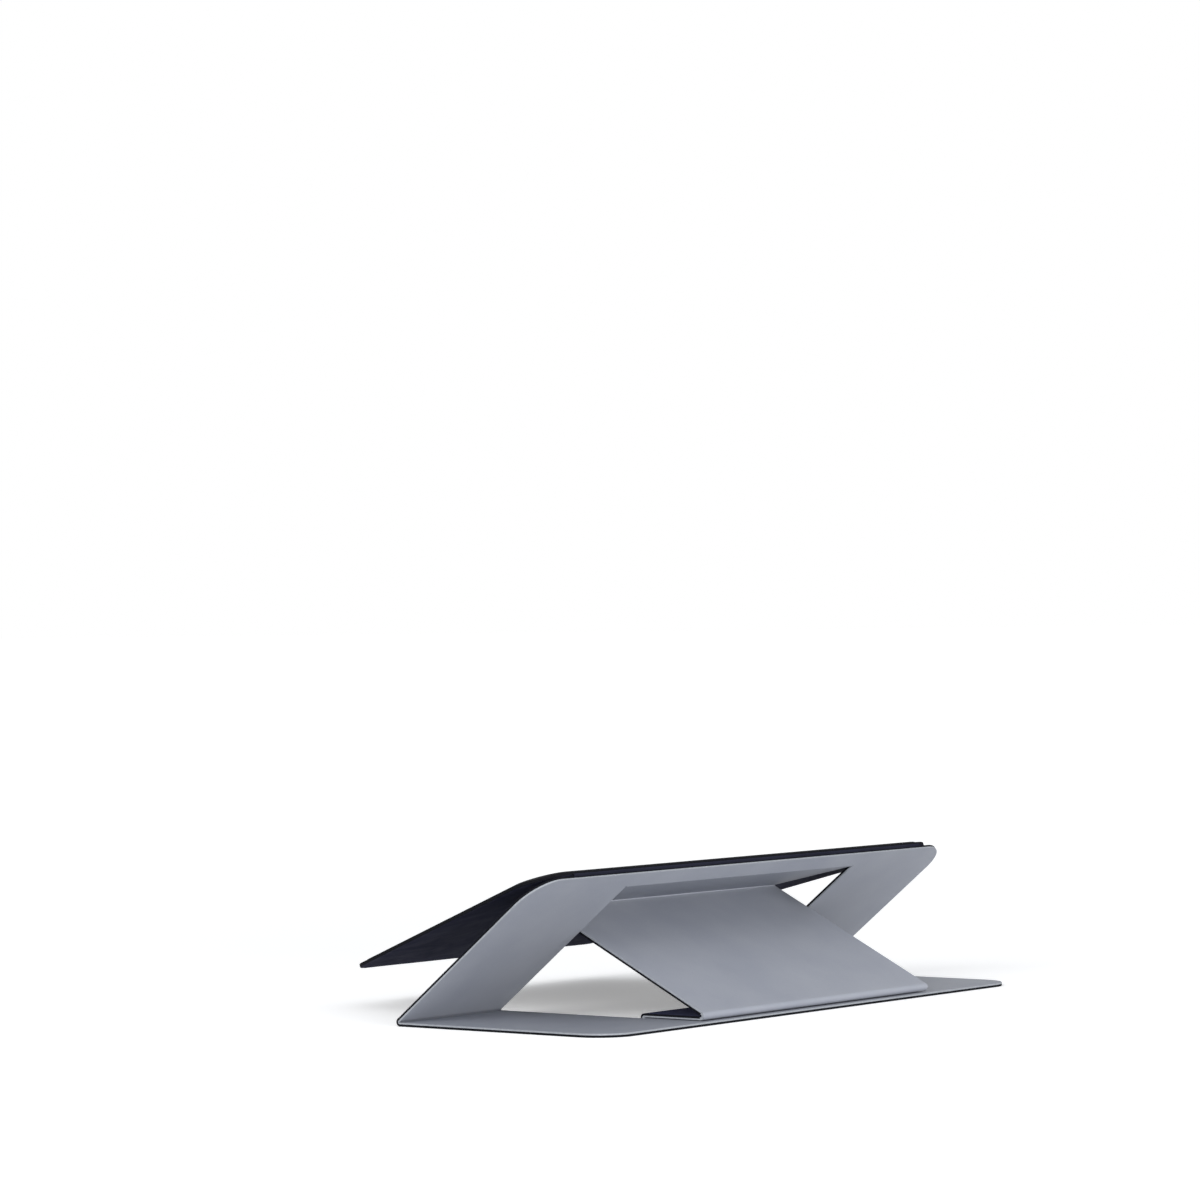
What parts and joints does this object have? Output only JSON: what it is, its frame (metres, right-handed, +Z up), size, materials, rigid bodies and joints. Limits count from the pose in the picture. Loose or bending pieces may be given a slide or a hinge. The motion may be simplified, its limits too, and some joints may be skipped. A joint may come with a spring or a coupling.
{
  "type": "adhesive folding laptop stand",
  "caption": "Flat-folding stand of creased laminated sheet: a flat base, a sloping leg, a strut folded back through the leg, and a tapered panel with an adhesive pad.",
  "frame": {"origin": "under the middle of the whole stand, on the surface that it stands on", "axes": "+X along the creases, +Y from the strut's nose towards the panel's front edge, +Z up"},
  "size_m": [0.226, 0.1416, 0.0484],
  "materials": {
    "cover": "smooth grey coated leatherette, satin",
    "board": "thin stiff fibre board, cut edge",
    "lining": "near-black coated lining, semi-gloss with faint wrinkles",
    "panel_board": "thin stiff fibre board, dark cut edge",
    "pad": "tacky adhesive sheet"
  },
  "bodies": {
    "base": {"base_cover": "cover", "base_board": "board", "base_lining": "lining", "front_crease_cover": "cover", "front_crease_lining": "lining", "foot_crease_cover": "cover", "foot_crease_lining": "lining"},
    "leg": {"leg_cover": "cover", "leg_board": "board", "leg_lining": "lining", "brace_crease_cover": "cover", "brace_crease_lining": "lining", "panel_crease": "lining"},
    "brace": {"brace_cover": "cover", "brace_board": "board", "brace_lining": "lining", "strut_crease_cover": "cover", "strut_crease_lining": "lining"},
    "strut": {"strut_cover": "cover", "strut_board": "board", "strut_lining": "lining", "nose_crease_cover": "cover", "nose_crease_lining": "lining"},
    "foot": {"foot_cover": "cover", "foot_board": "board", "foot_lining": "lining"},
    "panel": {"panel_lining": "lining", "panel_board": "panel_board", "adhesive_pad": "pad"}
  },
  "joints": [
    {"name": "fold_flat", "type": "hinge", "parent": "base", "child": "leg", "pos_m": [0, 0.01065, 0.00135], "axis": [-1, 0, 0], "range_deg": [0, 141.2], "deforming": ["front_crease_cover", "front_crease_lining"]},
    {"name": "brace_fold", "type": "hinge", "parent": "leg", "child": "brace", "pos_m": [0, -0.03883, 0.04306], "axis": [-1, 0, 0], "range_deg": [0, 26.09], "deforming": ["brace_crease_cover", "brace_crease_lining"]},
    {"name": "strut_fold", "type": "hinge", "parent": "brace", "child": "strut", "pos_m": [0, -0.00794, 0.03455], "axis": [1, 0, 0], "range_deg": [0, 140.56], "deforming": ["strut_crease_cover", "strut_crease_lining", "nose_crease_cover", "nose_crease_lining"]},
    {"name": "foot_fold", "type": "hinge", "parent": "base", "child": "foot", "pos_m": [0, -0.04584, 0.00135], "axis": [-1, 0, 0], "range_deg": [0, 180.01], "deforming": ["foot_crease_cover", "foot_crease_lining"]},
    {"name": "panel_lift", "type": "hinge", "parent": "leg", "child": "panel", "pos_m": [0, -0.04413, 0.04732], "axis": [1, 0, 0], "range_deg": [0, 158.4], "deforming": ["panel_crease"]}
  ],
  "couplings": [
    {"joint": "brace_fold", "follows": "fold_flat", "ratio": 0.18469},
    {"joint": "strut_fold", "follows": "fold_flat", "ratio": 0.99537},
    {"joint": "foot_fold", "follows": "fold_flat", "ratio": 1.2748}
  ]
}
